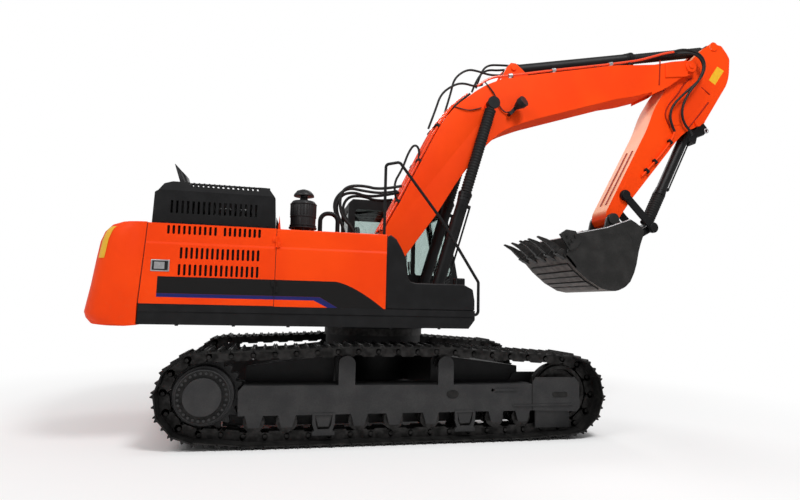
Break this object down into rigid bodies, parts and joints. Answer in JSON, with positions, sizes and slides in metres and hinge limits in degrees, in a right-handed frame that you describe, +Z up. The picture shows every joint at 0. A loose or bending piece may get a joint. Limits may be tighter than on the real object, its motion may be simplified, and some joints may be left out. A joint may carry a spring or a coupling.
{
  "type": "crawler excavator",
  "caption": "Crawler excavator with a slewing upper structure, a bent boom, an arm and a bucket on linked hydraulic cylinders.",
  "frame": {"origin": "on the ground under the slewing axis, midway between the tracks", "axes": "+X forward over the idlers, +Y to the machine's left, +Z up"},
  "size_m": [8.9819, 3.2, 5.9148],
  "materials": {
    "orange_paint": "gloss",
    "black_paint": "satin",
    "frame_paint": "matt",
    "track_steel": "matt",
    "casting": "gloss",
    "engine_iron": "matt",
    "bucket_steel": "matt",
    "cylinder_paint": "satin",
    "chrome_rod": "mirror",
    "bellows_rubber": "matt",
    "hose_rubber": "satin",
    "cab_paint": "satin",
    "window_glass": "clear",
    "seat_cloth": "woven",
    "panel_plastic": "grained"
  },
  "bodies": {
    "undercarriage": {"lower_frame": "frame_paint", "track_frame_right": "frame_paint", "track_frame_left": "frame_paint", "track_right": "track_steel", "track_left": "track_steel", "final_drive_right": "frame_paint", "final_drive_left": "frame_paint", "idler_right": "track_steel", "idler_left": "track_steel", "rollers_right": "track_steel", "rollers_left": "track_steel", "slew_ring": "track_steel"},
    "upper": {"revolving_frame": "black_paint", "counterweight": "casting", "engine_bay": "orange_paint", "engine_block": "engine_iron", "tank_housing": "orange_paint", "left_cabinet": "orange_paint", "valve_cover": "black_paint", "step_box": "black_paint", "pre_cleaner": "panel_plastic", "handrails": "black_paint", "cab_shell": "cab_paint", "cab_glass": "window_glass", "seat": "seat_cloth"},
    "hood": {"exhaust_stack": "black_paint", "hood": "black_paint"},
    "cab_door": {"cab_door": "cab_paint", "cab_door_glass": "window_glass"},
    "engine_door_right": {"engine_door_right": "orange_paint"},
    "engine_door_left": {"engine_door_left": "orange_paint"},
    "boom": {"boom": "orange_paint"},
    "boom_barrels": {"boom_cylinder_barrels": "cylinder_paint"},
    "boom_rods": {"boom_cylinder_rods": "chrome_rod", "boom_cylinder_bellows": "bellows_rubber"},
    "arm": {"arm": "orange_paint"},
    "arm_barrel": {"arm_cylinder_barrel": "cylinder_paint"},
    "arm_rod": {"arm_cylinder_rod": "chrome_rod", "arm_cylinder_bellows": "bellows_rubber"},
    "bucket_barrel": {"bucket_cylinder_barrel": "cylinder_paint"},
    "bucket_rod": {"bucket_cylinder_rod": "chrome_rod", "bucket_cylinder_bellows": "bellows_rubber"},
    "rocker": {"rocker": "frame_paint"},
    "link": {"bucket_link": "frame_paint"},
    "bucket": {"bucket": "bucket_steel", "bucket_teeth": "bucket_steel"}
  },
  "joints": [
    {"name": "slew", "type": "hinge", "parent": "undercarriage", "child": "upper", "pos_m": [0, 0, 1.19], "axis": [0, 0, 1], "continuous": true},
    {"name": "boom_lift", "type": "hinge", "parent": "upper", "child": "boom", "pos_m": [0.035, 0, 1.895], "axis": [0, -1, 0], "range_deg": [-70, 28]},
    {"name": "boom_barrel_swing", "type": "hinge", "parent": "upper", "child": "boom_barrels", "pos_m": [0.76, 0, 1.635], "axis": [0, -1, 0], "range_deg": [-75.96, 30.44]},
    {"name": "boom_rod_slide", "type": "slide", "parent": "boom_barrels", "child": "boom_rods", "axis": [0.2815, 0, 0.9595], "range_m": [-0.751, 0.3016], "deforming": ["boom_cylinder_bellows"]},
    {"name": "arm_swing", "type": "hinge", "parent": "boom", "child": "arm", "pos_m": [4.96, 0, 5.37], "axis": [0, -1, 0], "range_deg": [-4, 112]},
    {"name": "arm_barrel_swing", "type": "hinge", "parent": "boom", "child": "arm_barrel", "pos_m": [2, 0, 5.075], "axis": [0, -1, 0], "range_deg": [-0.36, 7.5]},
    {"name": "arm_rod_slide", "type": "slide", "parent": "arm_barrel", "child": "arm_rod", "axis": [0.9771, 0, 0.213], "range_m": [-1.1618, 0.0434], "deforming": ["arm_cylinder_bellows"]},
    {"name": "bucket_curl", "type": "hinge", "parent": "arm", "child": "bucket", "pos_m": [3.574, 0, 2.859], "axis": [0, -1, 0], "range_deg": [-86, 60]},
    {"name": "rocker_swing", "type": "hinge", "parent": "arm", "child": "rocker", "pos_m": [3.8, 0, 3.24], "axis": [0, -1, 0], "range_deg": [-55.14, 38.5]},
    {"name": "link_swing", "type": "hinge", "parent": "rocker", "child": "link", "pos_m": [4.27, 0, 2.767], "axis": [0, -1, 0], "range_deg": [-21.1, 30.2]},
    {"name": "bucket_barrel_swing", "type": "hinge", "parent": "arm", "child": "bucket_barrel", "pos_m": [5.154, 0, 4.512], "axis": [0, -1, 0], "range_deg": [-7.67, 5.38]},
    {"name": "bucket_rod_slide", "type": "slide", "parent": "bucket_barrel", "child": "bucket_rod", "axis": [-0.4519, 0, -0.8921], "range_m": [-0.3916, 0.5604], "deforming": ["bucket_cylinder_bellows"]},
    {"name": "cab_door_hinge", "type": "hinge", "parent": "upper", "child": "cab_door", "pos_m": [-0.21, 1.492, 1.5], "axis": [0, 0, 1], "range_deg": [0, 120]},
    {"name": "engine_door_right_hinge", "type": "hinge", "parent": "upper", "child": "engine_door_right", "pos_m": [-1.337, -1.492, 1.5], "axis": [0, 0, 1], "range_deg": [0, 100]},
    {"name": "engine_door_left_hinge", "type": "hinge", "parent": "upper", "child": "engine_door_left", "pos_m": [-1.337, 1.492, 1.5], "axis": [0, 0, -1], "range_deg": [0, 100]},
    {"name": "hood_hinge", "type": "hinge", "parent": "upper", "child": "hood", "pos_m": [-2.64, 0, 2.337], "axis": [0, -1, 0], "range_deg": [0, 55]}
  ],
  "couplings": [
    {"joint": "boom_barrel_swing", "follows": "boom_lift", "ratio": 1.0837},
    {"joint": "boom_rod_slide", "follows": "boom_lift", "m_per_rad": 0.6131},
    {"joint": "arm_barrel_swing", "follows": "arm_swing", "ratio": 0.0661},
    {"joint": "arm_rod_slide", "follows": "arm_swing", "m_per_rad": -0.5933},
    {"joint": "rocker_swing", "follows": "bucket_curl", "ratio": 0.64},
    {"joint": "link_swing", "follows": "bucket_curl", "ratio": -0.35},
    {"joint": "bucket_barrel_swing", "follows": "bucket_curl", "ratio": 0.088},
    {"joint": "bucket_rod_slide", "follows": "bucket_curl", "m_per_rad": -0.372}
  ]
}
